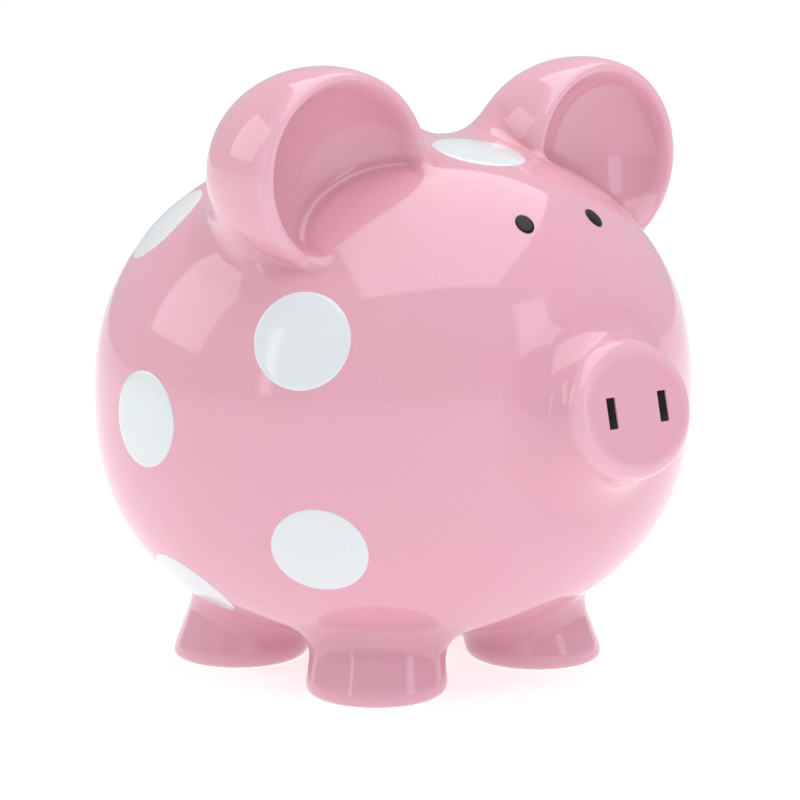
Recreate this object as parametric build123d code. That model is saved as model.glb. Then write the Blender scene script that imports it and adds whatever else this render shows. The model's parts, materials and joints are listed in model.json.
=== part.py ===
from build123d import *
import math
import os

os.makedirs("parts", exist_ok=True)

# Millimetres. The pig stands on Z = 0 and faces -Y; its left side is +X.
# The origin is on the table, under the middle of the body.

# body: a slip-cast hollow egg, a little wider than it is deep
body_half_width = 95.0
body_half_depth = 90.7
widest_z = 87.0
top_rise = 79.0
belly_drop = 75.5
top_roundness = 2.17
belly_roundness = 2.44
wall = 5.0

# coin slot on the crown, long way fore and aft
slot_length = 40.0
slot_width = 5.0
slot_y = 15.0

# stopper and its hole in the belly
hole_radius = 16.0
plug_clearance = 0.05
seat_radius = 21.0
seat_z = 12.6
flange_radius = 20.0
flange_thickness = 2.2
plug_wall = 2.4
plug_rise = 11.0
grip_well_radius = 12.0
grip_well_depth = 1.2
grip_bar_width = 3.5

# snout: an oval drum, tipped up a little
snout_centre = (0.0, -103.6, 91.8)
snout_tilt = 12.0
snout_radius = 20.2
snout_widening = 1.19
snout_edge = 3.5
snout_root = 25.0
nostril_width = 3.7
nostril_height = 8.4
nostril_offset = 10.6
nostril_depth = 1.2
nostril_fill = 0.8

# ears: near-round cups, open to the front
ear_centre = (53.4, -28.0, 157.8)
ear_half_size = (33.0, 35.0, 31.0)
ear_rim_y = -41.0
scoop_half_size = (27.6, 17.0, 26.2)
ear_rim_round = 1.2
ear_vent_y = -8.0

# legs: short hollow cups, splayed outwards
foot_x = 35.0
front_foot_y = -30.1
rear_foot_y = 37.1
foot_radius = 21.8
foot_edge = 3.0
leg_top_radius = 16.5
leg_top_z = 35.0
leg_lean = 8.0

# vents join each hollow piece to the inside of the bank, for drying and firing
vent_radius = 2.0

# tail: one and a half turns of a short corkscrew
tail_z = 98.0
tail_coil_radius = 6.5
tail_thickness = 7.0
tail_pitch = 10.9
tail_turns = 1.5

# raised white glaze and black enamel
glaze_thickness = 0.35
spot_radius = 14.3
eye_x = 14.3
eye_z = 143.6
eye_half_width = 2.9
eye_half_height = 3.5


def profile_point(angle, grow):
    """Point (radius, z) of the egg's half outline; 90 degrees is the top, -90 the belly."""
    c = math.cos(math.radians(angle))
    s = math.sin(math.radians(angle))
    rise = top_rise if s >= 0 else belly_drop
    n = top_roundness if s >= 0 else belly_roundness
    r = (body_half_width + grow) * abs(c) ** (2 / n)
    z = (rise + grow) * abs(s) ** (2 / n)
    return (r, widest_z + math.copysign(z, s))


def egg(grow):
    """The body's outer egg, grown or shrunk all round."""
    steps = [75, 60, 45, 30, 15, 0, -15, -30, -45, -60, -75]
    points = [(0, widest_z + top_rise + grow)]
    points += [profile_point(a, grow) for a in steps]
    points += [(0, widest_z - belly_drop - grow)]
    side = Spline(points, tangents=[(1, 0), (-1, 0)])
    axis = Line(points[-1], points[0])
    half = Plane.XZ * make_face([side, axis])
    whole = revolve(half, Axis.Z)
    return scale(whole, by=(1, (body_half_depth + grow) / (body_half_width + grow), 1))


def on_egg(turn, z):
    """Point on the egg at height z; turn 0 faces front, 90 the pig's left, 180 the rump."""
    rise, n = (top_rise, top_roundness) if z > widest_z else (belly_drop, belly_roundness)
    c = (1 - (abs(z - widest_z) / rise) ** n) ** (1 / n)
    t = math.radians(turn)
    return (body_half_width * c * math.sin(t), -body_half_depth * c * math.cos(t), z)


def egg_normal(point):
    """Outward direction of the egg's surface at a point on it."""
    x, y, z = point
    up = z > widest_z
    rise, n = (top_rise, top_roundness) if up else (belly_drop, belly_roundness)
    r = math.hypot(x / body_half_width, y / body_half_depth)
    nx = r ** (n - 2) * x / body_half_width**2
    ny = r ** (n - 2) * y / body_half_depth**2
    nz = (abs(z - widest_z) / rise) ** (n - 1) / rise
    return Vector(nx, ny, nz if up else -nz).normalized()


def glaze_patch(point, outline):
    """A thin raised patch of glaze on the egg: the outline cut through the glaze layer."""
    normal = egg_normal(point)
    sideways = Vector(0, 0, 1).cross(normal)
    if sideways.length < 0.05:
        sideways = Vector(1, 0, 0)
    start = Vector(*point) - normal * 8
    plane = Plane(origin=start, x_dir=sideways, z_dir=normal)
    cutter = extrude(plane * outline, 12)
    return glaze_layer & cutter


outer = egg(0)
glaze_layer = egg(glaze_thickness) - outer


def make_stopper():
    """Soft plug: a flange under the belly, a hollow neck through the wall, a grip bar in a well."""
    flange_top = seat_z - plug_clearance
    flange_low = flange_top - flange_thickness
    flange = Pos(0, 0, flange_low) * extrude(Circle(flange_radius), flange_thickness)
    flange = fillet(flange.edges().sort_by(Axis.Z)[0], 0.8)
    neck_radius = hole_radius - plug_clearance
    neck = Pos(0, 0, flange_top) * extrude(Circle(neck_radius), plug_rise)
    neck = chamfer(neck.edges().sort_by(Axis.Z)[-1], 0.8)
    hollow = Pos(0, 0, flange_top) * extrude(Circle(neck_radius - plug_wall), plug_rise)
    well = Circle(grip_well_radius) - Rectangle(2 * grip_well_radius + 1, grip_bar_width)
    wells = Pos(0, 0, flange_low) * extrude(well, grip_well_depth)
    return flange + (neck - hollow) - wells


def snout_drum(shrink, edge):
    """Oval drum of the snout, sunk into the egg; shrink gives the hollow behind its face."""
    r = snout_radius - shrink
    drum = extrude(Ellipse(r * snout_widening, r), -snout_root)
    drum = fillet(drum.edges().sort_by(Axis.Z)[-1], edge)
    return snout_face() * Pos(0, 0, -shrink) * drum


def snout_face():
    """Plane of the snout's flat front, facing outwards."""
    return Plane(origin=snout_centre, x_dir=(1, 0, 0), z_dir=tilted(snout_tilt))


def tilted(angle):
    """Forward direction, tipped up by an angle."""
    a = math.radians(angle)
    return (0, -math.cos(a), math.sin(a))


def nostril_block(side, top, depth):
    """A square-cornered block sunk into the snout's face, from top down by depth."""
    place = snout_face() * Pos(side * nostril_offset, 0, top - depth)
    return place * extrude(Rectangle(nostril_width, nostril_height), depth)


def make_snout():
    """Oval snout, hollow behind its face, with two square pits for the nostrils."""
    snout = snout_drum(0, snout_edge) - snout_drum(wall, 1) - outer
    for side in (-1, 1):
        snout -= nostril_block(side, 0.5, nostril_depth + 0.5)
    return snout


def make_nostril(side):
    """Black enamel in the bottom of the pit."""
    return nostril_block(side, nostril_fill - nostril_depth, nostril_fill)


def ellipsoid(centre, half_size):
    """Ellipsoid with its axes along X, Y and Z."""
    return Pos(*centre) * scale(Sphere(1), by=half_size)


def grown(half_size, amount):
    """Half sizes of an ellipsoid, each grown by an amount."""
    return tuple(h + amount for h in half_size)


def make_ear(side):
    """A deep cup with a rounded rim, hollow between its scoop and its back, set on the egg."""
    x, y, z = ear_centre
    scoop_centre = (x, ear_rim_y, z)
    cup = ellipsoid(ear_centre, ear_half_size)
    front = Pos(x, ear_rim_y - 50, z) * Box(100, 100, 100)
    ear = cup - front - ellipsoid(scoop_centre, scoop_half_size)
    rim = ear.edges().group_by(Axis.Y)[0]
    ear = fillet(rim, ear_rim_round)
    inside = ellipsoid(ear_centre, grown(ear_half_size, -wall))
    inside -= ellipsoid(scoop_centre, grown(scoop_half_size, wall))
    inside -= Pos(x, ear_rim_y - 50 + wall, z) * Box(100, 100, 100)
    ear = ear - inside - outer
    return ear if side > 0 else mirror(ear, Plane.YZ)


def leg_blank(x, y, shrink, floor_z):
    """Leaning cone of a leg; shrink and floor_z give the hollow inside."""
    reach = math.hypot(x, y)
    top_x = x * (1 - leg_lean / reach)
    top_y = y * (1 - leg_lean / reach)
    low = Pos(x, y, floor_z) * Circle(foot_radius - shrink)
    high = Pos(top_x, top_y, leg_top_z) * Circle(leg_top_radius - shrink)
    return loft([low, high])


def make_leg(x, y):
    """A hollow cup with a closed sole, fitted to the belly."""
    leg = leg_blank(x, y, 0, 0)
    leg = fillet(leg.edges().group_by(Axis.Z)[0], foot_edge)
    return leg - leg_blank(x, y, wall, wall) - outer


def leg_vent(x, y):
    """Vent between the hollow of a leg and the inside of the bank."""
    reach = math.hypot(x, y)
    k = 1 - 0.75 * leg_lean / reach
    return Pos(x * k, y * k, 0) * extrude(Circle(vent_radius), 40)


def make_tail():
    """Corkscrew tail with a round tip, set on the rump."""
    start_y = body_half_depth - 3.5
    height = tail_turns * tail_pitch
    coil = Helix(tail_pitch, height, tail_coil_radius)
    section = Plane(origin=coil @ 0, z_dir=coil % 0) * Circle(tail_thickness / 2)
    rope = sweep(section, path=coil, is_frenet=True)
    rope += Pos(coil @ 1) * Sphere(tail_thickness / 2)
    place = Plane(origin=(0, start_y, tail_z), x_dir=(0, 0, -1), z_dir=(0, 1, 0))
    return place * rope - outer


def make_body():
    """The hollow egg with the coin slot, the seated stopper hole and the vents."""
    body = outer - egg(-wall)
    slot = Pos(0, slot_y, widest_z) * extrude(SlotOverall(slot_length, slot_width, rotation=90), 100)
    body -= slot
    body -= extrude(Circle(hole_radius), widest_z)
    body -= extrude(Circle(seat_radius), seat_z)
    for x, y in feet.values():
        body -= leg_vent(x, y)
    for side in (-1, 1):
        body -= Pos(side * ear_centre[0], ear_vent_y, widest_z) * extrude(Circle(vent_radius), 100)
    return body - Pos(0, 0, snout_centre[2]) * Rot(90, 0, 0) * extrude(Circle(vent_radius), 100)


feet = {
    "leg_front_left": (foot_x, front_foot_y),
    "leg_front_right": (-foot_x, front_foot_y),
    "leg_rear_left": (foot_x, rear_foot_y),
    "leg_rear_right": (-foot_x, rear_foot_y),
}

# spots: name, turn round the body, height of the middle; each side one is mirrored
side_spots = {
    "cheek": (59.2, 113.0),
    "flank": (93.1, 86.4),
    "shoulder": (56.5, 51.7),
    "haunch": (97.1, 32.7),
    "back": (116.3, 140.7),
}
middle_spots = {
    "spot_crown": (0.0, 160.5),
    "spot_rump_upper": (180.0, 140.0),
    "spot_rump_lower": (180.0, 48.0),
}

nodes = {
    "body_shell": make_body(),
    "snout": make_snout(),
    "nostril_left": make_nostril(1),
    "nostril_right": make_nostril(-1),
    "ear_left": make_ear(1),
    "ear_right": make_ear(-1),
    "tail": make_tail(),
    "stopper": make_stopper(),
}
for name, (x, y) in feet.items():
    nodes[name] = make_leg(x, y)
for word, (turn, z) in side_spots.items():
    for label, side in (("left", 1), ("right", -1)):
        patch = glaze_patch(on_egg(side * turn, z), Circle(spot_radius))
        if word == "haunch":
            patch -= leg_blank(side * foot_x, rear_foot_y, 0, 0)
        nodes["spot_" + word + "_" + label] = patch
for name, (turn, z) in middle_spots.items():
    nodes[name] = glaze_patch(on_egg(turn, z), Circle(spot_radius))
for label, side in (("left", 1), ("right", -1)):
    x = side * eye_x
    c = on_egg(0, eye_z)[1] / -body_half_depth
    turn = math.degrees(math.asin(x / (body_half_width * c)))
    nodes["eye_" + label] = glaze_patch(on_egg(turn, eye_z), Ellipse(eye_half_width, eye_half_height))

for name, solid in nodes.items():
    export_step(solid, "parts/" + name + ".step")
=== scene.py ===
import json
import math

import bmesh
import bpy
import numpy as np
from mathutils import Matrix, Vector


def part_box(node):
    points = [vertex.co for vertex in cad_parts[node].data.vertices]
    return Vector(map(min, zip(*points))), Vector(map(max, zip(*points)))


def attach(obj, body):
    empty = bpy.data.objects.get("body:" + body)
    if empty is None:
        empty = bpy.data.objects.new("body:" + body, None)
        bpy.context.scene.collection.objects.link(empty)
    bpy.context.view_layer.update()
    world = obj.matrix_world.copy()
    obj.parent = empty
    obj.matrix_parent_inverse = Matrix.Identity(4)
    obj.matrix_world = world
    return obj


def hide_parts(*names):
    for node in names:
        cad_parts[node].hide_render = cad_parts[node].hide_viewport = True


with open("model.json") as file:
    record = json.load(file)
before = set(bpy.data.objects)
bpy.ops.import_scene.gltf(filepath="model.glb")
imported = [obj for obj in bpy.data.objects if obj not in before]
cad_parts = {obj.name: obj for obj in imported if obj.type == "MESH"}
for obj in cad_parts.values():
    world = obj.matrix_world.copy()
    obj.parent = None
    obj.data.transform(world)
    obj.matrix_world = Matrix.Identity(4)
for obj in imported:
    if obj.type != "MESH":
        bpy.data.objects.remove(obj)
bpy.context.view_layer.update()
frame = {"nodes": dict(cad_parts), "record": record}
mm = 0.001
print("frame loaded")


def boxOf(name):
    low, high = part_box(name)
    return np.array(low), np.array(high)


def deselectAll():
    if bpy.context.mode != "OBJECT":
        bpy.ops.object.mode_set(mode="OBJECT")
    bpy.ops.object.select_all(action="DESELECT")


def makeActive(piece):
    deselectAll()
    piece.select_set(True)
    bpy.context.view_layer.objects.active = piece


def readPoints(piece):
    points = np.empty(len(piece.data.vertices) * 3)
    piece.data.vertices.foreach_get("co", points)
    return points.reshape(-1, 3)


def writePoints(piece, points):
    piece.data.vertices.foreach_set("co", points.ravel())
    piece.data.update()


def selectOnly(piece, chosen, kind="VERT"):
    # chosen says for each vertex whether it is in; a face is in when all its corners are
    makeActive(piece)
    bpy.ops.object.mode_set(mode="EDIT")
    bpy.ops.mesh.select_mode(type=kind)
    bpy.ops.mesh.select_all(action="DESELECT")
    bpy.ops.object.mode_set(mode="OBJECT")
    if kind == "VERT":
        piece.data.vertices.foreach_set("select", np.asarray(chosen, bool))
    else:
        for face in piece.data.polygons:
            face.select = all(chosen[v] for v in face.vertices)
    bpy.ops.object.mode_set(mode="EDIT")


def cubeBall(name, centre, halfSize, cuts):
    # a cube cut fine and cast into a ball has even faces and no poles
    deselectAll()
    bpy.ops.mesh.primitive_cube_add(size=2)
    ball = bpy.context.object
    ball.name = name
    bpy.ops.object.mode_set(mode="EDIT")
    bpy.ops.mesh.subdivide(number_cuts=cuts)
    bpy.ops.object.mode_set(mode="OBJECT")
    bpy.ops.object.modifier_add(type="CAST")
    ball.modifiers[0].factor = 1
    ball.modifiers[0].size = 1
    ball.modifiers[0].use_radius_as_size = False
    bpy.ops.object.modifier_apply(modifier=ball.modifiers[0].name)
    bpy.ops.object.mode_set(mode="EDIT")
    bpy.ops.mesh.select_all(action="SELECT")
    bpy.ops.transform.resize(value=tuple(halfSize))
    bpy.ops.transform.translate(value=tuple(centre))
    bpy.ops.object.mode_set(mode="OBJECT")
    return ball


# Forms. Each field is the distance outside a form, below zero inside it.

def smoothMax(a, b, reach):
    h = np.maximum(reach - np.abs(a - b), 0) / reach
    return np.maximum(a, b) + h * h * reach / 4


def smoothStep(low, high, x):
    t = np.clip((x - low) / (high - low), 0, 1)
    return t * t * (3 - 2 * t)


def ellipsoidField(points, centre, halfSize):
    q = points - centre
    k0 = np.linalg.norm(q / halfSize, axis=1) + 1e-9
    k1 = np.linalg.norm(q / halfSize**2, axis=1) + 1e-9
    return k0 * (k0 - 1) / k1


def slopeOf(field, points):
    step = 0.02 * mm
    slope = np.empty_like(points)
    for axis in range(3):
        shift = np.zeros(3)
        shift[axis] = step
        slope[:, axis] = (field(points + shift) - field(points - shift)) / (2 * step)
    return slope


def settle(points, field, steps=8):
    # slides every point along the slope of a field until it lies on its surface
    for _ in range(steps):
        slope = slopeOf(field, points)
        value = field(points) / np.maximum((slope**2).sum(1), 0.05)
        points = points - slope * value[:, None]
    return points


def settleAlong(points, field, direction, steps=8):
    for _ in range(steps):
        rate = slopeOf(field, points) @ direction
        points = points - np.outer(field(points) / rate, direction)
    return points


shell = {
    "centreHeight": 87 * mm,
    "rise": 79 * mm,
    "drop": 75.5 * mm,
    "topRoundness": 2.17,
    "foreheadFullness": 0.42,
    "foreheadSpread": math.radians(36),
    "bellyRoundness": 2.44,
    "wall": 5 * mm,
}
shellLow, shellHigh = boxOf("body_shell")
shellHalf = (shellHigh - shellLow) / 2
shellCentre = np.array([0, 0, shell["centreHeight"]])


def shellField(points):
    q = points - shellCentre
    turn = np.arctan2(q[:, 0], -q[:, 1])
    full = shell["foreheadFullness"] * np.exp(-((turn / shell["foreheadSpread"]) ** 2))
    up = q[:, 2] > 0
    n = np.where(up, shell["topRoundness"] + full, shell["bellyRoundness"])
    s = np.abs(q[:, 2]) / np.where(up, shell["rise"], shell["drop"])
    r = np.hypot(q[:, 0] / shellHalf[0], q[:, 1] / shellHalf[1])
    g = (r**n + s**n) ** (1 / n)
    size = np.linalg.norm(q, axis=1)
    return size * (1 - 1 / np.maximum(g, 0.05))


ear = {
    "halfSize": np.array([33, 35, 31]) * mm,
    "scoopHalf": np.array([27.6, 14.2, 26.2]) * mm,
    "rimRound": 4.4 * mm,
    "creaseReach": 3.2 * mm,            # joint inside the scoop, kept crisp
    "blendReach": 13 * mm,              # joint behind, filled with slip
    "blendFrom": (4 * mm, 16 * mm),     # how far outside the scoop one turns into the other
    "centreDepth": 13 * mm,             # middle of the cup behind its rim
    "rimCuts": (6 * mm, 4 * mm),        # faces nearer to the rim than these are cut finer, in turn
}
earLow, earHigh = boxOf("ear_left")
ear["front"] = earLow[1] - 1 * mm   # the rounding takes this back
ear["centre"] = np.array([
    earHigh[0] - ear["halfSize"][0],
    earLow[1] + ear["centreDepth"],
    earHigh[2] - ear["halfSize"][2],
])
ear["scoopCentre"] = np.array([ear["centre"][0], earLow[1], ear["centre"][2]])


def mirrored(points):
    return points * np.array([-1, 1, 1])


def scoopField(points):
    return ellipsoidField(points, ear["scoopCentre"], ear["scoopHalf"])


def leftEarField(points):
    cup = ellipsoidField(points, ear["centre"], ear["halfSize"])
    cup = smoothMax(cup, ear["front"] - points[:, 1], ear["rimRound"])
    return smoothMax(cup, -scoopField(points), ear["rimRound"])


def rightEarField(points):
    return leftEarField(mirrored(points))


def leftEarReach(points):
    outside = smoothStep(*ear["blendFrom"], scoopField(points))
    return ear["creaseReach"] + (ear["blendReach"] - ear["creaseReach"]) * outside


def rightEarReach(points):
    return leftEarReach(mirrored(points))


snout = {
    "tilt": math.radians(12),
    "halfWidth": 24 * mm,
    "halfHeight": 20.2 * mm,
    "edge": 4.2 * mm,           # rounding of the rim
    "flare": 12 * mm,           # reach of the slip-filled joint with the body
    "pitDepth": 1.2 * mm,
    "fill": 0.8 * mm,           # depth of the enamel in each pit
    "fillEdge": 0.15 * mm,
    "pitWidth": 3.7 * mm,
    "pitHeight": 9 * mm,
}
snoutOut = np.array([0, -math.cos(snout["tilt"]), math.sin(snout["tilt"])])
snoutUp = np.array([0, math.sin(snout["tilt"]), math.cos(snout["tilt"])])
nostrilLow, nostrilHigh = boxOf("nostril_left")
nostrilMid = (nostrilLow + nostrilHigh) / 2
fillMid = snout["pitDepth"] - snout["fill"] / 2
snoutFace = np.array([0, nostrilMid[1], nostrilMid[2]]) + snoutOut * fillMid


def snoutField(points):
    q = points - snoutFace
    u = q[:, 0]
    v = q @ snoutUp
    w = q @ snoutOut
    flat = np.stack([u, v, np.zeros_like(u)], axis=1)
    side = ellipsoidField(flat, np.zeros(3), np.array([snout["halfWidth"], snout["halfHeight"], 1]))
    return smoothMax(side, w, snout["edge"])


leg = {
    "footRadius": 22 * mm,
    "taper": 0.135,         # radius lost for each unit of height
    "lean": 0.235,          # lean of the middle line, towards the middle of the body
    "edge": 5 * mm,
    "blendReach": 9 * mm,
    "footInset": 21.8 * mm,  # from the middle of the sole to the outermost points of the node
}
legNodes = ["leg_front_left", "leg_front_right", "leg_rear_left", "leg_rear_right"]


def legFoot(name):
    low, high = boxOf(name)
    x = high[0] if high[0] + low[0] > 0 else low[0]
    y = high[1] if high[1] + low[1] > 0 else low[1]
    inset = leg["footInset"]
    return np.array([x - math.copysign(inset, x), y - math.copysign(inset, y)])


def legField(name):
    foot = legFoot(name)
    inward = -foot / np.linalg.norm(foot)
    slant = math.hypot(1, leg["taper"] + leg["lean"] / 2)

    def field(points):
        z = points[:, 2]
        away = points[:, :2] - foot - np.outer(z, inward * leg["lean"])
        side = (np.linalg.norm(away, axis=1) - leg["footRadius"] + z * leg["taper"]) / slant
        return smoothMax(side, -z, leg["edge"])
    return field


tail = {
    "coilRadius": 6.5 * mm,
    "pitch": 10.9 * mm,
    "turns": 1.5,
    "rootRadius": 4.3 * mm,
    "tipRadius": 2.7 * mm,
    "blendReach": 5 * mm,
    "steps": 120,
}
tailLow, tailHigh = boxOf("tail")
tail["start"] = shellHalf[1] - 3.5 * mm
tail["height"] = (tailLow[2] + tailHigh[2]) / 2


def tailPath():
    # a corkscrew about the line straight out of the rump
    t = np.linspace(0, 1, tail["steps"])
    angle = 2 * math.pi * tail["turns"] * t
    x = tail["coilRadius"] * np.sin(angle)
    z = tail["height"] - tail["coilRadius"] * np.cos(angle)
    y = tail["start"] + tail["pitch"] * tail["turns"] * t
    radius = tail["rootRadius"] + (tail["tipRadius"] - tail["rootRadius"]) * t
    return np.stack([x, y, z], axis=1), radius


tailLine, tailThick = tailPath()


def tailField(points):
    value = np.full(len(points), 1.0)
    middle = (tailLow + tailHigh) / 2
    near = np.linalg.norm(points - middle, axis=1) < 40 * mm
    part = points[near]
    closest = np.full(len(part), 1.0)
    for spot, radius in zip(tailLine, tailThick):
        closest = np.minimum(closest, np.linalg.norm(part - spot, axis=1) - radius)
    value[near] = closest
    return value


def steady(reach):
    return lambda points: np.full(len(points), reach)


joints = {
    "ear_left": (leftEarField, leftEarReach),
    "ear_right": (rightEarField, rightEarReach),
    "snout": (snoutField, steady(snout["flare"])),
    "tail": (tailField, steady(tail["blendReach"])),
}
for name in legNodes:
    joints[name] = (legField(name), steady(leg["blendReach"]))


joint = {
    "sink": 3 * mm,         # how deep a piece's foot stands in the wall of the body
    "underlap": 2 * mm,     # how far past the seam a piece still follows the shared surface
    "fineBand": 3.5 * mm,   # faces nearer to the seam than this are cut finer
    "rimBands": (2.5 * mm, 1.5 * mm),   # and again, twice, where an ear's rim ends
    "rimAcross": 6 * mm,
    "rimAlong": 7 * mm,
    "tuck": 1.2 * mm,       # how far the hidden edge past the seam is pressed in
}


def sunk(own):
    # the piece's own form with its foot ending inside the wall of the body
    return lambda points: np.maximum(own(points), -shellField(points) - joint["sink"])


def glazed(own, others):
    # own form with a slip-filled fillet against each neighbour; both neighbours share the fillet
    def field(points):
        a = own(points)
        out = a.copy()
        for other, reachOf in others:
            reach = reachOf(points)
            t = (a - other(points)) / reach
            out -= reach * np.where(t < 1, np.clip(1 + t, 0, None) ** 2 / 4, t)
        return out
    return field


def past(own, others):
    # above zero where a neighbour is nearer than the piece itself: the hidden side of a joint
    def field(points):
        return own(points) - np.min([other(points) for other, _ in others], axis=0)
    return field


def cutAlong(piece, field):
    # splits every edge that a field's zero line crosses and joins the new points across the faces
    mesh = bmesh.new()
    mesh.from_mesh(piece.data)
    mesh.verts.ensure_lookup_table()
    points = np.array([v.co for v in mesh.verts])
    values = field(points)
    new = []
    for edge in list(mesh.edges):
        i, j = edge.verts[0].index, edge.verts[1].index
        if values[i] * values[j] < 0:
            share = values[i] / (values[i] - values[j])
            _, vert = bmesh.utils.edge_split(edge, edge.verts[0], share)
            new.append(vert)
    bmesh.ops.connect_verts(mesh, verts=new)
    mesh.verts.index_update()
    seam = [v.index for v in new]
    mesh.to_mesh(piece.data)
    mesh.free()
    return np.array(seam, int)


def refine(piece, chosen):
    selectOnly(piece, chosen, "FACE")
    bpy.ops.mesh.subdivide(number_cuts=1, ngon=False)
    bpy.ops.object.mode_set(mode="OBJECT")


def nearRimEnds(points):
    # where an ear's rim runs into the body, the tightest corner of the form
    side = np.where(points[:, :1] < 0, mirrored(points), points)
    across = np.abs(scoopField(side)) < joint["rimAcross"]
    return across & (np.abs(side[:, 1] - ear["front"]) < joint["rimAlong"])


def joinUp(piece, own, base, others):
    # settles a piece on the surface it shares with its neighbours, cuts it at the seams
    # and tucks what lies past them under
    form = glazed(own, others)
    hidden = past(base, others)

    def follow():
        points = readPoints(piece)
        free = hidden(points) < joint["underlap"]
        points[free] = settle(points[free], form, 10)
        writePoints(piece, points)

    follow()
    refine(piece, np.abs(hidden(readPoints(piece))) < joint["fineBand"])
    follow()
    for width in joint["rimBands"]:
        points = readPoints(piece)
        refine(piece, (np.abs(hidden(points)) < width) & nearRimEnds(points))
        follow()
    seam = cutAlong(piece, hidden)
    points = readPoints(piece)
    line = points[seam]
    for _ in range(6):
        line = settle(line, form, 1)
        line = settle(line, hidden, 1)
    points[seam] = line
    deep = hidden(points)
    deep[seam] = 0
    slope = slopeOf(base, points)
    normal = slope / np.maximum(np.linalg.norm(slope, axis=1), 1e-9)[:, None]
    tuck = np.where(deep < joint["underlap"] * 2, np.clip(deep * 1.5, 0, joint["tuck"]), 0)
    writePoints(piece, points - normal * tuck[:, None])
    return form


def giveNormals(piece, form):
    # exact normals of the form on every face that lies on it, the mesh's own ones elsewhere
    data = piece.data
    data.update()
    points = readPoints(piece)
    slope = slopeOf(form, points)
    normal = slope / np.maximum(np.linalg.norm(slope, axis=1), 1e-9)[:, None]
    lying = np.abs(form(points)) < 0.02 * mm
    corner = np.empty(len(data.loops), int)
    data.loops.foreach_get("vertex_index", corner)
    count = np.empty(len(data.polygons), int)
    data.polygons.foreach_get("loop_total", count)
    faceOf = np.repeat(np.arange(len(count)), count)
    flat = np.empty(len(count) * 3)
    data.polygons.foreach_get("normal", flat)
    flat = flat.reshape(-1, 3)
    agrees = lying[corner] & ((normal[corner] * flat[faceOf]).sum(1) > 0.8)
    good = np.ones(len(count), bool)
    np.logical_and.at(good, faceOf, agrees)
    edgeOf = np.empty(len(data.loops), int)
    data.loops.foreach_get("edge_index", edgeOf)
    sides = np.zeros(len(data.edges), int)
    np.add.at(sides, edgeOf, np.where(good[faceOf], 1, 0))
    data.polygons.foreach_set("use_smooth", np.ones(len(count), bool))
    for edge in np.nonzero(sides == 1)[0]:
        data.edges[int(edge)].use_edge_sharp = True
    perCorner = np.where(good[faceOf][:, None], normal[corner], 0)
    data.normals_split_custom_set(perCorner.tolist())


def giveTone(piece, form):
    # hollow above zero in creases, where it drives painted shade in the glaze colour; below zero on edges
    # where the glaze runs thin
    points = readPoints(piece)
    step = 1.5 * mm
    total = -6 * form(points)
    for axis in range(3):
        for sign in (-1, 1):
            shift = np.zeros(3)
            shift[axis] = sign * step
            total += form(points + shift)
    bend = -total / step**2 * mm   # per millimetre
    layer = piece.data.attributes.new("hollow", "FLOAT", "POINT")
    layer.data.foreach_set("value", np.clip(bend * 4, -1, 1).astype(np.float32))


def finishPiece(piece, material, slotName, body, *nodes):
    piece.data.materials.clear()
    piece.data.materials.append(material)
    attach(piece, body)
    if nodes:
        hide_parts(*nodes)


def toLinear(code):
    values = [int(code[i:i + 2], 16) / 255 for i in (0, 2, 4)]
    return tuple(v / 12.92 if v <= 0.04045 else ((v + 0.055) / 1.055) ** 2.4 for v in values) + (1,)


def newMaterial(name):
    material = bpy.data.materials.new(name)
    material.use_nodes = True
    material.node_tree.nodes.clear()
    return material


def add(tree, kind, inputs=None, **settings):
    node = tree.nodes.new(kind)
    for key, value in settings.items():
        setattr(node, key, value)
    for key, value in (inputs or {}).items():
        if isinstance(value, bpy.types.NodeSocket):
            tree.links.new(value, node.inputs[key])
        else:
            node.inputs[key].default_value = value
    return node


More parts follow.
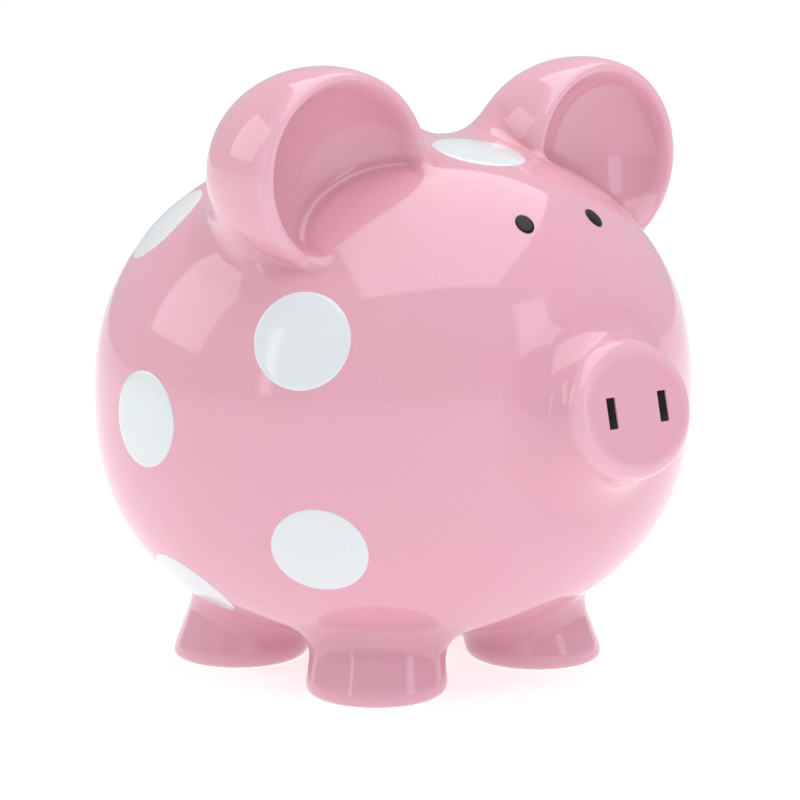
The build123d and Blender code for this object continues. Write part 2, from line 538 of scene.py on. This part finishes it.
def glazeMaterial(name, colours, roughness):
    # lead-free gloss glaze over white earthenware: wet-looking, darkened in hollows by painted shade, runs
    # thin and pale over edges, with a faint orange peel and a few pinholes
    material = newMaterial(name)
    tree = material.node_tree
    place = add(tree, "ShaderNodeTexCoord").outputs["Object"]
    hollow = add(tree, "ShaderNodeAttribute", attribute_name="hollow").outputs["Fac"]
    # painted shade: the glaze colour is mixed towards a darker one where the surface is hollow
    shade_in_hollows = add(tree, "ShaderNodeMath", {0: hollow, 1: 0.45}, operation="MULTIPLY", use_clamp=True)
    thin = add(tree, "ShaderNodeMath", {0: hollow, 1: -0.5}, operation="MULTIPLY", use_clamp=True)
    drift = add(tree, "ShaderNodeTexNoise", {"Vector": place, "Scale": 22, "Detail": 3})   # 45 mm clouds
    grain = add(tree, "ShaderNodeTexNoise", {"Vector": place, "Scale": 900, "Detail": 2})  # 1 mm mottle
    cloud = add(tree, "ShaderNodeMapRange", {0: drift.outputs["Fac"], 1: 0.35, 2: 0.65, 3: 0, 4: 0.55})
    fleck = add(tree, "ShaderNodeMapRange", {0: grain.outputs["Fac"], 1: 0.35, 2: 0.7, 3: 0, 4: 0.3})
    layers = [(cloud, "drift"), (fleck, "fleck"), (shade_in_hollows, "shade_in_hollows"), (thin, "thin")]
    colour = colours["base"]
    for amount, tint in layers:
        colour = add(tree, "ShaderNodeMix", {
            0: amount.outputs[0], 6: colour, 7: colours[tint],
        }, data_type="RGBA").outputs[2]
    sheen = add(tree, "ShaderNodeMapRange", {
        0: grain.outputs["Fac"], 1: 0.3, 2: 0.7, 3: roughness, 4: roughness + 0.035,
    })
    pit = add(tree, "ShaderNodeTexVoronoi", {"Vector": place, "Scale": 130})   # pinholes about 8 mm apart
    pinhole = add(tree, "ShaderNodeMapRange", {0: pit.outputs["Distance"], 1: 0.02, 2: 0.035, 3: 0, 4: 1})
    peel = add(tree, "ShaderNodeTexNoise", {"Vector": place, "Scale": 160, "Detail": 1})   # 6 mm orange peel
    bump = add(tree, "ShaderNodeBump", {
        "Height": peel.outputs["Fac"], "Strength": 0.25, "Distance": 0.06 * mm,
    })
    bump = add(tree, "ShaderNodeBump", {
        "Height": pinhole.outputs[0], "Strength": 0.3, "Distance": 0.05 * mm, "Normal": bump.outputs[0],
    })
    # the soles are wiped clean of glaze before firing, so that they don't stick to the kiln shelf
    height = add(tree, "ShaderNodeSeparateXYZ", {0: place}).outputs["Z"]
    ragged = add(tree, "ShaderNodeMath", {
        0: drift.outputs["Fac"], 1: 0.8 * mm, 2: height,
    }, operation="MULTIPLY_ADD")
    bare = add(tree, "ShaderNodeMapRange", {0: ragged.outputs[0], 1: 1.0 * mm, 2: 1.25 * mm, 3: 1, 4: 0})
    colour = add(tree, "ShaderNodeMix", {
        0: bare.outputs[0], 6: colour, 7: toLinear("D9CFC6"),
    }, data_type="RGBA")
    sheen = add(tree, "ShaderNodeMix", {0: bare.outputs[0], 2: sheen.outputs[0], 3: 0.75}, data_type="FLOAT")
    shader = add(tree, "ShaderNodeBsdfPrincipled", {
        "Base Color": colour.outputs[2], "Roughness": sheen.outputs[0], "IOR": 1.52,
        "Normal": bump.outputs[0],
    })
    add(tree, "ShaderNodeOutputMaterial", {"Surface": shader.outputs[0]})
    return material


def blackEnamel():
    # fired black enamel: deep, glossy, with a faint brush ripple
    material = newMaterial("black overglaze enamel")
    tree = material.node_tree
    place = add(tree, "ShaderNodeTexCoord").outputs["Object"]
    ripple = add(tree, "ShaderNodeTexNoise", {"Vector": place, "Scale": 1400, "Detail": 2})   # 0.7 mm
    colour = add(tree, "ShaderNodeMix", {
        0: ripple.outputs["Fac"], 6: toLinear("060607"), 7: toLinear("131214"),
    }, data_type="RGBA")
    sheen = add(tree, "ShaderNodeMapRange", {0: ripple.outputs["Fac"], 3: 0.1, 4: 0.2})
    bump = add(tree, "ShaderNodeBump", {
        "Height": ripple.outputs["Fac"], "Strength": 0.3, "Distance": 0.02 * mm,
    })
    shader = add(tree, "ShaderNodeBsdfPrincipled", {
        "Base Color": colour.outputs[2], "Roughness": sheen.outputs[0], "IOR": 1.3,
        "Normal": bump.outputs[0],
    })
    add(tree, "ShaderNodeOutputMaterial", {"Surface": shader.outputs[0]})
    return material


def softVinyl():
    # plasticised PVC, injection moulded: waxy, half matt, with a fine spark-eroded grain
    material = newMaterial("soft vinyl moulded satin")
    tree = material.node_tree
    place = add(tree, "ShaderNodeTexCoord").outputs["Object"]
    grain = add(tree, "ShaderNodeTexNoise", {"Vector": place, "Scale": 2500, "Detail": 2})   # 0.4 mm grain
    drift = add(tree, "ShaderNodeTexNoise", {"Vector": place, "Scale": 60, "Detail": 2})
    colour = add(tree, "ShaderNodeMix", {
        0: drift.outputs["Fac"], 6: toLinear("E9E4DA"), 7: toLinear("DCD6CA"),
    }, data_type="RGBA")
    sheen = add(tree, "ShaderNodeMapRange", {0: grain.outputs["Fac"], 3: 0.38, 4: 0.55})
    bump = add(tree, "ShaderNodeBump", {
        "Height": grain.outputs["Fac"], "Strength": 0.4, "Distance": 0.03 * mm,
    })
    shader = add(tree, "ShaderNodeBsdfPrincipled", {
        "Base Color": colour.outputs[2], "Roughness": sheen.outputs[0], "IOR": 1.53,
        "Normal": bump.outputs[0],
        "Subsurface Weight": 0.15, "Subsurface Radius": (1.0, 0.8, 0.6), "Subsurface Scale": 2 * mm,
    })
    add(tree, "ShaderNodeOutputMaterial", {"Surface": shader.outputs[0]})
    return material


# each glaze's colour for hollows is painted shade, darker than the glaze itself
pink = glazeMaterial("pink gloss glaze on earthenware", {
    "base": toLinear("DAA1B2"), "drift": toLinear("D79DAC"), "fleck": toLinear("DDA6B6"),
    "shade_in_hollows": toLinear("C4808F"), "thin": toLinear("E4B3C1"),
}, 0.06)
white = glazeMaterial("white gloss glaze laid thick", {
    "base": toLinear("D8DDE0"), "drift": toLinear("D4DADF"), "fleck": toLinear("DCE1E2"),
    "shade_in_hollows": toLinear("C9D1D6"), "thin": toLinear("DDDFE0"),
}, 0.07)
black = blackEnamel()
vinyl = softVinyl()


# Ears, legs, snout and tail: settled on their forms and joined to the body.

def makeEar(name):
    left = name.endswith("left")
    ball = cubeBall("ear", ear["centre"], ear["halfSize"], 63)
    selectOnly(ball, readPoints(ball)[:, 1] < ear["front"])
    bpy.ops.transform.resize(value=(0.9, -0.75, 0.9), center_override=tuple(ear["scoopCentre"]))
    bpy.ops.object.mode_set(mode="OBJECT")
    writePoints(ball, settle(readPoints(ball), sunk(leftEarField), 12))
    for depth in ear["rimCuts"]:
        refine(ball, readPoints(ball)[:, 1] < ear["front"] + depth)
        writePoints(ball, settle(readPoints(ball), sunk(leftEarField), 4))
    return ball


def makeLeg(name):
    foot = legFoot(name)
    middle = (foot[0], foot[1], 16 * mm)
    radius = leg["footRadius"]
    piece = cubeBall(name.replace("leg_", "leg."), middle, (radius, radius, 18 * mm), 47)
    writePoints(piece, settle(readPoints(piece), sunk(legField(name)), 10))
    return piece


def makeSnout():
    middle = snoutFace - snoutOut * 14 * mm
    size = (snout["halfWidth"], 17 * mm, snout["halfHeight"])
    piece = cubeBall("snout.drum", middle, size, 63)
    writePoints(piece, settle(readPoints(piece), sunk(snoutField), 10))
    return piece


def faceBlock(side, top, depth, bevel=0.0):
    # an upright block on one side of the snout's face, its outer side at the height top
    middle = snoutFace + snoutOut * (top - depth / 2) + np.array([side * nostrilMid[0], 0, 0])
    deselectAll()
    bpy.ops.mesh.primitive_cube_add(size=1)
    block = bpy.context.object
    bpy.ops.object.mode_set(mode="EDIT")
    bpy.ops.transform.resize(value=(snout["pitWidth"], depth, snout["pitHeight"]))
    if bevel:
        bpy.ops.mesh.bevel(offset=bevel, segments=3, affect="EDGES")
    bpy.ops.object.mode_set(mode="OBJECT")
    block.data.transform(Matrix.Translation(Vector(middle)) @ Matrix.Rotation(-snout["tilt"], 4, "X"))
    return block


def combine(piece, other, operation):
    makeActive(piece)
    bpy.ops.object.modifier_add(type="BOOLEAN")
    piece.modifiers[0].operation = operation
    piece.modifiers[0].object = other
    piece.modifiers[0].solver = "EXACT"
    bpy.ops.object.modifier_apply(modifier=piece.modifiers[0].name)
    bpy.data.objects.remove(other)


def cutPits(piece):
    # square-cornered pits for the nostrils, and the enamel that lies in each
    above = 1 * mm
    for side, name in ((-1, "right"), (1, "left")):
        combine(piece, faceBlock(side, above, snout["pitDepth"] + above), "DIFFERENCE")
        enamel = faceBlock(side, snout["fill"] - snout["pitDepth"], snout["fill"], snout["fillEdge"])
        enamel.name = "nostril." + name
        makeActive(enamel)
        bpy.ops.object.shade_smooth_by_angle(angle=math.radians(50))
        finishPiece(enamel, black, "black_enamel", "bank", "nostril_" + name)


def makeTail():
    # a tapered tube swept along the corkscrew, closed with a round tip
    deselectAll()
    bpy.ops.curve.primitive_nurbs_path_add()
    path = bpy.context.object
    path.name = "tail.coil"
    spline = path.data.splines[0]
    spline.points.add(len(tailLine) - len(spline.points))
    for point, spot, radius in zip(spline.points, tailLine, tailThick):
        point.co = (*spot, 1)
        point.radius = radius / tail["rootRadius"]
    spline.order_u = 3
    spline.use_endpoint_u = True
    spline.resolution_u = 2
    path.data.bevel_depth = tail["rootRadius"]
    path.data.bevel_resolution = 10
    path.data.use_fill_caps = True
    path.data.twist_mode = "MINIMUM"
    bpy.ops.object.convert(target="MESH")
    piece = bpy.context.object
    bpy.ops.object.mode_set(mode="EDIT")
    bpy.ops.mesh.select_all(action="SELECT")
    bpy.ops.mesh.remove_doubles(threshold=0.01 * mm)
    bpy.ops.mesh.normals_make_consistent(inside=False)
    bpy.ops.object.mode_set(mode="OBJECT")
    return piece


def finishJoined(piece, own, name):
    form = joinUp(piece, own, sunk(own), [(shellField, joints[name][1])])
    if name == "snout":
        cutPits(piece)
    giveTone(piece, form)
    giveNormals(piece, form)
    finishPiece(piece, pink, "pink_glaze", "bank", name)
    return form


for name in ("ear_left", "ear_right"):
    own, reachOf = joints[name]
    piece = makeEar(name)
    if name == "ear_right":
        makeActive(piece)
        bpy.ops.object.mode_set(mode="EDIT")
        bpy.ops.mesh.select_all(action="SELECT")
        bpy.ops.transform.resize(value=(-1, 1, 1), center_override=(0, 0, 0))
        bpy.ops.mesh.flip_normals()
        bpy.ops.object.mode_set(mode="OBJECT")
    piece.name = "ear." + name[4:]
    finishJoined(piece, own, name)
print("ears done")

for name in legNodes:
    finishJoined(makeLeg(name), joints[name][0], name)
print("legs done")

finishJoined(makeSnout(), snoutField, "snout")
print("snout done")
finishJoined(makeTail(), tailField, "tail")
print("tail done")

slot = {
    "length": 40 * mm,
    "width": 5 * mm,
    "lip": 1.2 * mm,
    "innerLip": 0.5 * mm,
}
openings = frame["record"]["physics"]["openings"]
slotBox = next(opening["box_m"] for opening in openings if opening["name"] == "coin_slot")
slotMiddle = [(slotBox[0][axis] + slotBox[1][axis]) / 2 for axis in (0, 1)]

hole = {
    "radius": 16 * mm,
    "seatRadius": 21 * mm,      # flat ring the stopper's flange bears on
    "lip": 0.6 * mm,
    "seat": float(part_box("stopper")[0].z) + 2.25 * mm,
    "profile": [                # millimetres outside the hole's edge and above the seat
        (4.75, 0), (0.7, 0), (0.2, 0.2), (0, 0.7),
    ],
}


down = np.array([0, 0, -1.0])


def liningField(points):
    return shellField(points) + shell["wall"]


def slotField(points):
    straight = (slot["length"] - slot["width"]) / 2
    along = np.clip(np.abs(points[:, 1] - slotMiddle[1]) - straight, 0, None)
    field = np.hypot(points[:, 0] - slotMiddle[0], along) - slot["width"] / 2
    return np.where(points[:, 2] > shell["centreHeight"], field, 1.0)


def holeField(points):
    field = np.hypot(points[:, 0], points[:, 1]) - hole["radius"]
    return np.where(points[:, 2] < shell["centreHeight"], field, 1.0)


def openUp(piece, field, offset):
    # takes out the faces inside an outline that is offset outwards
    ring = cutAlong(piece, lambda points: field(points) - offset)
    points = readPoints(piece)
    inside = field(points) - offset < -0.001 * mm
    inside[ring] = False
    selectOnly(piece, inside)
    bpy.ops.mesh.delete(type="VERT")
    bpy.ops.object.mode_set(mode="OBJECT")


def rimEdges(mesh, field, offset):
    found = []
    for edge in mesh.edges:
        if edge.is_boundary:
            ends = np.array([v.co for v in edge.verts])
            if (np.abs(field(ends) - offset) < 0.3 * mm).all():
                found.append(edge)
    return found


def turnIn(piece, field, offset, moves):
    # extrudes the rim of an opening inwards, ring by ring; each move gives the new ring's points
    mesh = bmesh.new()
    mesh.from_mesh(piece.data)
    rim = rimEdges(mesh, field, offset)
    for move in moves:
        made = bmesh.ops.extrude_edge_only(mesh, edges=rim)["geom"]
        rim = [item for item in made if isinstance(item, bmesh.types.BMEdge) and item.is_boundary]
        verts = list({vert for edge in rim for vert in edge.verts})
        points = np.array([vert.co for vert in verts])
        out = slopeOf(field, points)
        out /= np.linalg.norm(out, axis=1)[:, None]
        for vert, spot in zip(verts, move(points, out, field(points))):
            vert.co = spot
    mesh.to_mesh(piece.data)
    mesh.free()


def slotMoves():
    # a quarter round lip, then straight down through the wall
    lip = slot["lip"]
    steps = 5

    def roundOver(step):
        angle = math.pi / 2 * step / steps
        before = math.pi / 2 * (step - 1) / steps
        drop = lip * (math.cos(before) - math.cos(angle))
        offset = lip * (1 - math.sin(angle))
        return lambda points, out, now: points - out * (now - offset)[:, None] + down * drop

    straight = down * (shell["wall"] - lip - slot["innerLip"])
    return [roundOver(step) for step in range(1, steps + 1)] + [lambda points, out, now: points + straight]


def holeMoves():
    # the turned seat, its inner edge, then straight up to the lining
    def ring(offset, height):
        def move(points, out, now):
            new = points - out * (now - offset * mm)[:, None]
            new[:, 2] = hole["seat"] + height * mm
            return new
        return move

    def upToLining(points, out, now):
        start = np.array([[hole["radius"], 0, hole["seat"]]])
        new = points.copy()
        new[:, 2] = settleAlong(start, liningField, -down)[0, 2] - slot["innerLip"]
        return new
    return [ring(*step) for step in hole["profile"]] + [upToLining]


def bridge(piece, field, rings):
    # joins two boundary rings of an opening
    makeActive(piece)
    bpy.ops.object.mode_set(mode="EDIT")
    bpy.ops.mesh.select_mode(type="EDGE")
    bpy.ops.mesh.select_all(action="DESELECT")
    mesh = bmesh.from_edit_mesh(piece.data)
    for offset in rings:
        for edge in rimEdges(mesh, field, offset):
            edge.select = True
    bmesh.update_edit_mesh(piece.data)
    bpy.ops.mesh.bridge_edge_loops()
    bpy.ops.object.mode_set(mode="OBJECT")


body = cubeBall("body.shell", shellCentre, (shellHalf[0], shellHalf[1], shell["rise"]), 87)
writePoints(body, settle(readPoints(body), shellField, 8))
bodyForm = joinUp(body, shellField, shellField, list(joints.values()))
openUp(body, slotField, slot["lip"])
turnIn(body, slotField, slot["lip"], slotMoves())
seatEdge = hole["seatRadius"] + hole["lip"] - hole["radius"]
openUp(body, holeField, seatEdge)
turnIn(body, holeField, seatEdge, holeMoves())

liningHalf = np.array([shellHalf[0], shellHalf[1], shell["rise"]]) * 0.95   # settled on the lining below
lining = cubeBall("lining", shellCentre, liningHalf, 39)
writePoints(lining, settle(readPoints(lining), liningField, 8))
openUp(lining, slotField, slot["innerLip"])
openUp(lining, holeField, slot["innerLip"])
makeActive(lining)
bpy.ops.object.mode_set(mode="EDIT")
bpy.ops.mesh.select_all(action="SELECT")
bpy.ops.mesh.flip_normals()
bpy.ops.object.mode_set(mode="OBJECT")
makeActive(body)
lining.select_set(True)
bpy.ops.object.join()
bridge(body, slotField, (0, slot["innerLip"]))
bridge(body, holeField, (0, slot["innerLip"]))
giveTone(body, bodyForm)
giveNormals(body, bodyForm)
finishPiece(body, pink, "pink_glaze", "bank", "body_shell")
print("body done")


# Spots and eyes are closed discs of thick glaze, laid on the body.
glazeDisc = {
    "height": 0.45 * mm,
    "under": 0.6 * mm,
    "spotRadius": 14.3 * mm,
    "eyeHalf": (2.9 * mm, 3.4 * mm),
    "nudged": ("cheek", "shoulder"),                 # these sit a little further in and forward
    "nudge": np.array([1.25, 1.15, 0]) * mm,
}


def discPoints(ball, halfSize, middle):
    out = slopeOf(bodyForm, middle[None, :])[0]
    out /= np.linalg.norm(out)
    side = np.cross([0, 0, 1], out)
    side = side / np.linalg.norm(side) if np.linalg.norm(side) > 0.05 else np.array([1.0, 0, 0])
    up = np.cross(out, side)
    across = np.outer(ball[:, 0] * halfSize[0], side) + np.outer(ball[:, 1] * halfSize[1], up)
    foot = settleAlong(middle + across, bodyForm, out)
    slope = slopeOf(bodyForm, foot)
    normal = slope / np.linalg.norm(slope, axis=1)[:, None]
    crown = np.sqrt(np.clip(1 - np.hypot(ball[:, 0], ball[:, 1]) ** 14, 0, 1))
    thick = np.where(ball[:, 2] >= 0, glazeDisc["height"] * crown, -glazeDisc["under"] * crown)
    return foot + normal * thick[:, None]


def makeDisc(name, node, halfSize, slide=None, nudge=(0, 0, 0)):
    # slide moves the node's middle onto the body along one direction; without it the disc is centred
    # on the node's own box
    low, high = boxOf(node)
    target = (low + high) / 2 + np.array(nudge)
    deselectAll()
    bpy.ops.mesh.primitive_uv_sphere_add(segments=96, ring_count=40, radius=1)
    disc = bpy.context.object
    disc.name = name
    ball = readPoints(disc)
    middle = target[None, :]
    if slide is not None:
        middle = settleAlong(middle, bodyForm, np.array(slide, float))
    points = discPoints(ball, halfSize, middle[0])
    for _ in range(4 if slide is None else 0):
        middle = settle(middle + target - (points.min(0) + points.max(0)) / 2, bodyForm, 4)
        points = discPoints(ball, halfSize, middle[0])
    writePoints(disc, points)
    makeActive(disc)
    bpy.ops.object.shade_smooth()
    return disc


for node in sorted(frame["nodes"]):
    if node.startswith("spot_"):
        side = 1 if node.endswith("left") else -1
        nudged = node.split("_")[1] in glazeDisc["nudged"]
        nudge = glazeDisc["nudge"] * (-side, -1, 0) if nudged else (0, 0, 0)
        disc = makeDisc(node.replace("_", ".", 1), node, (glazeDisc["spotRadius"],) * 2, nudge=nudge)
        finishPiece(disc, white, "white_glaze", "bank", node)
for node in ("eye_left", "eye_right"):
    disc = makeDisc(node.replace("_", "."), node, glazeDisc["eyeHalf"], slide=(0, -1, 0))
    finishPiece(disc, black, "black_enamel", "bank", node)
print("spots and eyes done")

stopper = {
    "rings": [   # radius and height above the flange's underside, in millimetres
        (12, 0.25), (12.25, 0), (19.2, 0), (19.6, 0.1), (19.88, 0.35), (20, 0.8), (20, 1.95), (19.75, 2.2),
        (16.2, 2.2), (15.95, 2.5), (15.95, 12.4), (15.15, 13.2), (13.75, 13.2), (13.55, 13), (13.55, 2.4),
        (13.35, 2.2),
    ],
    "well": (12, 1.2),
    "bar": (25, 3.5, 1.7),
}


def makeStopper():
    # flange, neck and well drawn out of one circle ring by ring, with a grip bar across the well
    base = boxOf("stopper")[0][2]
    radius, height = stopper["well"]
    deselectAll()
    bpy.ops.mesh.primitive_circle_add(vertices=128, radius=radius * mm, fill_type="NGON", location=(0, 0, 0))
    plug = bpy.context.object
    plug.name = "stopper.plug"
    bpy.ops.object.mode_set(mode="EDIT")
    bpy.ops.mesh.select_all(action="SELECT")
    bpy.ops.transform.translate(value=(0, 0, base + height * mm))
    bpy.ops.mesh.select_mode(type="EDGE")
    bpy.ops.mesh.region_to_loop()
    last, level = radius, height
    for radius, height in stopper["rings"]:
        bpy.ops.mesh.extrude_region_move(TRANSFORM_OT_translate={"value": (0, 0, (height - level) * mm)})
        bpy.ops.transform.resize(value=(radius / last, radius / last, 1), center_override=(0, 0, 0))
        last, level = radius, height
    bpy.ops.mesh.edge_face_add()
    bpy.ops.mesh.select_all(action="SELECT")
    bpy.ops.mesh.normals_make_consistent(inside=False)
    deselectAll()
    bpy.ops.mesh.primitive_cube_add(size=1)
    bar = bpy.context.object
    size = np.array(stopper["bar"]) * mm
    bpy.ops.object.mode_set(mode="EDIT")
    bpy.ops.transform.resize(value=tuple(size))
    bpy.ops.mesh.bevel(offset=0.4 * mm, segments=3, affect="EDGES")
    bpy.ops.transform.translate(value=(0, 0, base + size[2] / 2 + 0.05 * mm))
    combine(plug, bar, "UNION")
    bpy.ops.object.shade_smooth_by_angle(angle=math.radians(35))
    return plug


finishPiece(makeStopper(), vinyl, "stopper_rubber", "stopper", "stopper")
print("stopper done")


deselectAll()
bpy.ops.mesh.primitive_plane_add(size=80)
floor = bpy.context.object
floor.name = "floor"
floorMaterial = newMaterial("matt white paper sweep")
tree = floorMaterial.node_tree
fibre = add(tree, "ShaderNodeTexNoise", {
    "Vector": add(tree, "ShaderNodeTexCoord").outputs["Object"], "Scale": 700, "Detail": 2,   # 1.4 mm fibres
})
paper = add(tree, "ShaderNodeMix", {
    0: fibre.outputs["Fac"], 6: toLinear("CFCFCF"), 7: toLinear("D2D2D2"),
}, data_type="RGBA")
shader = add(tree, "ShaderNodeBsdfPrincipled", {
    "Base Color": paper.outputs[2], "Roughness": 0.9,
    "Emission Color": (1, 1, 1, 1), "Emission Strength": 0.62,   # a lit sweep, so its shadows are faint
})
add(tree, "ShaderNodeOutputMaterial", {"Surface": shader.outputs[0]})
floor.data.materials.append(floorMaterial)

view = {
    "turn": math.radians(42.4),     # how far round to the pig's right the camera stands
    "rise": math.radians(9.0),
    "distance": 0.9,
    "focus": Vector((0, 0, 81 * mm)),
    "right": -1.73 * mm,            # where the focus point stands in the frame
    "up": -1.46 * mm,
    "lens": 129.4,
}
turn, rise = view["turn"], view["rise"]
rightward = Vector((math.cos(turn), -math.sin(turn), 0))
forward = Vector((math.sin(turn) * math.cos(rise), math.cos(turn) * math.cos(rise), -math.sin(rise)))
upward = rightward.cross(forward)
camera = bpy.data.objects.new("camera", bpy.data.cameras.new("camera"))
bpy.context.scene.collection.objects.link(camera)
place = view["focus"] - rightward * view["right"] - upward * view["up"] - forward * view["distance"]
camera.matrix_world = Matrix((
    (rightward.x, upward.x, -forward.x, place.x),
    (rightward.y, upward.y, -forward.y, place.y),
    (rightward.z, upward.z, -forward.z, place.z),
    (0, 0, 0, 1),
))
camera.data.lens = view["lens"]
camera.data.sensor_width = 36
camera.data.clip_start = 0.01
bpy.context.scene.camera = camera

world = bpy.data.worlds.new("studio")
bpy.context.scene.world = world
world.use_nodes = True
world.node_tree.nodes["Background"].inputs["Color"].default_value = (1, 1, 1, 1)
world.node_tree.nodes["Background"].inputs["Strength"].default_value = 0.57


def softbox(name, place, target, size, glow, colour=(1, 1, 1), roll=0.0):
    # glow is how bright its face looks; the white room is 1
    lamp = bpy.data.lights.new(name, "AREA")
    lamp.shape = "RECTANGLE"
    lamp.size, lamp.size_y = size
    lamp.energy = glow * math.pi * size[0] * size[1]
    lamp.color = colour
    thing = bpy.data.objects.new(name, lamp)
    bpy.context.scene.collection.objects.link(thing)
    aim = (Vector(target) - Vector(place)).to_track_quat("-Z", "Y")
    thing.matrix_world = Matrix.Translation(place) @ aim.to_matrix().to_4x4() @ Matrix.Rotation(roll, 4, "Z")


middle = (0, 0, 90 * mm)
softbox("overhead.bank", (0.15, -0.2, 1.25), (0.15, -0.2, 0), (1.2, 1.9), 1.9, roll=math.radians(-36.6))
softbox("window.front", (0.27, -1.13, 0.42), middle, (0.28, 0.6), 2.0, colour=(0.9, 0.86, 1))
softbox("strip.side", (-1.2, -0.1, 0.45), middle, (0.1, 0.6), 2.2)
softbox("fill.back", (-0.9, 0.85, 0.8), middle, (0.8, 0.8), 1.7)
bpy.context.scene.view_settings.view_transform = "Standard"

print("scene done")
